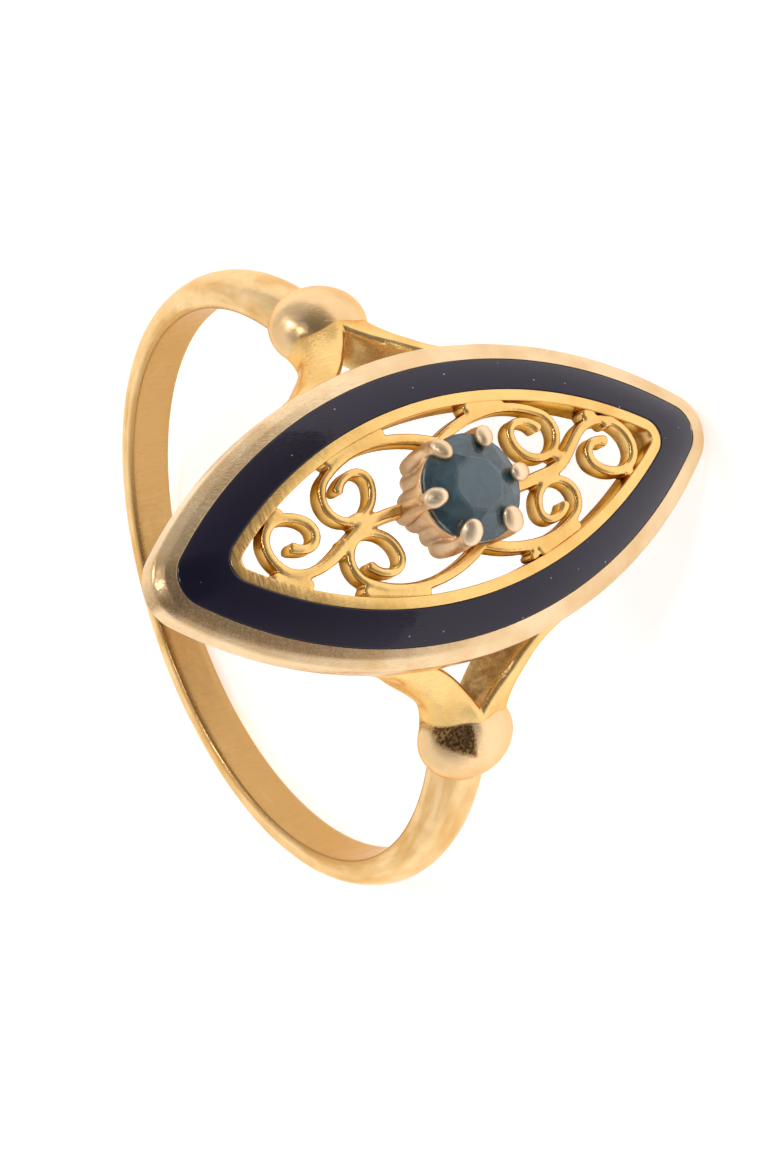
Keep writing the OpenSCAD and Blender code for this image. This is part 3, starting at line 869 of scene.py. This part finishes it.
# %% The sapphire
CROWN_H, GIRDLE_HALF, PAVILION_H = 0.48, 0.05, 1.25
STRETCH = 1.05
STAR_R = TABLE_R + 0.52 * (STONE_R - TABLE_R)
STAR_H = CROWN_H - (STAR_R * np.cos(np.pi / 8) - TABLE_R) * (CROWN_H - GIRDLE_HALF) / (STONE_R - TABLE_R)


def ring(count, radius, height, first=0.0):
    """Points evenly round the stone's middle. The stone is cut a little longer across the head."""
    a = np.radians(first) + np.arange(count) * 2 * np.pi / count
    return np.stack([STRETCH * radius * np.cos(a), radius * np.sin(a), np.full(count, GIRDLE_Z + height)], -1)


def stone():
    """Points and facets of the stone, ring by ring from the table down to the culet."""
    half_r = 0.3 * STONE_R
    half_z = -PAVILION_H + half_r * np.cos(np.pi / 8) * (PAVILION_H - GIRDLE_HALF) / STONE_R
    points = np.vstack([ring(8, TABLE_R, CROWN_H), ring(8, STAR_R, STAR_H, 22.5),
                        ring(32, STONE_R, GIRDLE_HALF), ring(32, STONE_R, -GIRDLE_HALF),
                        ring(8, half_r, half_z, 22.5),
                        [[0, 0, GIRDLE_Z - PAVILION_H]]])
    eight, girdle = range(8), range(32)
    faces = [list(eight)]
    faces += [[8 + i, (i + 1) % 8, i] for i in eight]
    faces += [[8 + (i + 7) % 8, 16 + 4 * i, 8 + i, i] for i in eight]
    faces += [[16 + 4 * i, 17 + 4 * i, 18 + 4 * i, 8 + i] for i in eight]
    faces += [[18 + 4 * i, 19 + 4 * i, 16 + (4 * i + 4) % 32, 8 + i] for i in eight]
    faces += [[48 + i, 48 + (i + 1) % 32, 16 + (i + 1) % 32, 16 + i] for i in girdle]
    faces += [[50 + 4 * i, 49 + 4 * i, 48 + 4 * i, 80 + i] for i in eight]
    faces += [[48 + (4 * i + 4) % 32, 51 + 4 * i, 50 + 4 * i, 80 + i] for i in eight]
    faces += [[80 + i, 48 + 4 * i, 80 + (i + 7) % 8, 88] for i in eight]
    return points, faces


bench, sockets, SAPPHIRE = new_material("teal sapphire", 0.12, 0.0, IOR=1.77, Transmission_Weight=0.35)
x, y, z, spot = bench.places()
silk = bench.noise(spot, 1.7, 4.0, stretch=((0.2, 0.4, 0.3), (1.0, 0.5, 2.0)))
worn = bench.noise(spot, 5.0, 4.0, rough=0.65)
# table: the table is rougher from wear, and is painted a lighter grey-teal as a painted reflection
table = z.ramp(GIRDLE_Z + CROWN_H - 0.05, GIRDLE_Z + CROWN_H - 0.02)
colour = bench.mix(silk.ramp(0.4, 0.6), (0.03, 0.075, 0.10, 1), (0.09, 0.17, 0.21, 1))
colour = bench.mix(table * (worn.ramp(0.2, 0.7) * 0.5 + 0.4), colour, (0.15, 0.22, 0.26, 1))
feed(bench, sockets["Base Color"], colour)
feed(bench, sockets["Roughness"], table * 0.2 + worn * 0.12 + 0.06)
feed_bumps(bench, sockets, worn * 3.0)
piece("faceted_sapphire", [stone()], SAPPHIRE, "sapphire", flat=True)

# %% [markdown]
# ## Floor, light and camera
# The ring lies on a plain pale floor inside a white tent, so gold mirrors white nearly
# everywhere. The camera looks down on the head aslant. It leans away from straight above the head,
# that lean is turned round the head, and last the camera is rolled about its own line of sight.

# %% The camera
AIM = np.array([-1.4665, 2.7595, 10.5])
DISTANCE = 95.2545
LEAN, SWING, ROLL = np.radians([29.0241, 97.6324, 63.4977])
back = np.array([np.sin(LEAN) * np.cos(SWING), np.sin(LEAN) * np.sin(SWING), np.cos(LEAN)])
aside = np.array([-np.sin(SWING), np.cos(SWING), 0])
right = np.cos(ROLL) * aside + np.sin(ROLL) * np.cross(back, aside)
CAMERA_AT = AIM + DISTANCE * back
camera = bpy.data.objects.new("camera", bpy.data.cameras.new("camera"))
camera.data.sensor_fit = "VERTICAL"
camera.data.sensor_height = 36
camera.data.lens = 3500 * 36 / 1152
camera.data.clip_start = 0.005
turn = (np.array([right, np.cross(back, right), back]) @ AXES).T
pose = np.eye(4)
pose[:3, :3], pose[:3, 3] = turn, to_rest(CAMERA_AT)
camera.matrix_world = Matrix(pose.tolist())
bpy.context.scene.collection.objects.link(camera)
bpy.context.scene.camera = camera
print("camera at", np.round(pose[:3, 3], 4))

# %% [markdown]
# The floor is matt paper with a faint grain. It glows a little, so that it stays white under the ring
# and lights the ring from below as a lit table does.

# %% The floor
FLOOR_GLOW = 0.5
bench, sockets, PAPER = new_material("pale floor", 0.9)
grain = bench.noise(bench.node("ShaderNodeTexCoord")["Object"], 300.0, 3.0)
feed(bench, sockets["Base Color"], bench.mix(grain, (0.93, 0.93, 0.93, 1), (0.97, 0.97, 0.97, 1)))
sockets["Emission Color"].default_value = (1, 1, 1, 1)
sockets["Emission Strength"].default_value = FLOOR_GLOW
floor = bpy.data.meshes.new("floor")
floor.from_pydata([(-1, -1, 0), (1, -1, 0), (1, 1, 0), (-1, 1, 0)], [], [(0, 1, 2, 3)])
floor.materials.append(PAPER)
floor = bpy.data.objects.new("floor", floor)
bpy.context.scene.collection.objects.link(floor)
print("floor glows at", FLOOR_GLOW)

# %% [markdown]
# The tent is white cloth lit from all round. It is darkest where the camera looks in, which gives the
# polished gold its darker streaks, and its cloth is dimmer above the camera than below. Two small lamps
# beside the camera give the hot spots.

# %% The tent
GAP_LIGHT, CLOTH_LIGHT, DIMMED = 0.2, 0.99, 0.42

# Lamps: steps to the camera's right and up for each step towards it, half width in degrees, power
LAMPS = [(-0.45, 0.2, 4.5, 20.0), (-1.4, 0.8, 5.5, 18.0)]

world = bpy.data.worlds.new("white tent")
bpy.context.scene.world = world
world.use_nodes = True
bench = Bench(world.node_tree)
bpy.context.scene.view_settings.view_transform = "Standard"
way = bench.node("ShaderNodeTexCoord")["Generated"]
towards_camera = to_rest(CAMERA_AT) - to_rest((0, 0, 11))
towards_camera /= np.linalg.norm(towards_camera)


def facing(direction):
    """Cosine of the angle between a direction and the way that the light comes from."""
    return bench.node("ShaderNodeVectorMath", {"operation": "DOT_PRODUCT"}, way, tuple(direction))["Value"]


def lamp(beside, above, size, power):
    """A small bright disc with a soft edge, beside the camera."""
    direction = towards_camera + beside * turn[:, 0] + above * turn[:, 1]
    direction = direction / np.linalg.norm(direction)
    return facing(direction).ramp(np.cos(np.radians(size)), np.cos(np.radians(size * 0.8))) * power


pale = bench.node("ShaderNodeMapRange", {"interpolation_type": "SMOOTHSTEP"}, Value=facing(towards_camera),
                  From_Min=0.985, From_Max=0.15, To_Min=GAP_LIGHT, To_Max=CLOTH_LIGHT)["Result"]
light = pale * (1.0 - facing(turn[:, 1]).ramp(0.05, 0.85) * DIMMED)
for row in LAMPS:
    light = light + lamp(*row)
background = world.node_tree.nodes["Background"]
feed(bench, background.inputs["Strength"], light)
background.inputs["Color"].default_value = (1.0, 0.995, 0.985, 1)
print("lamps:", len(LAMPS))
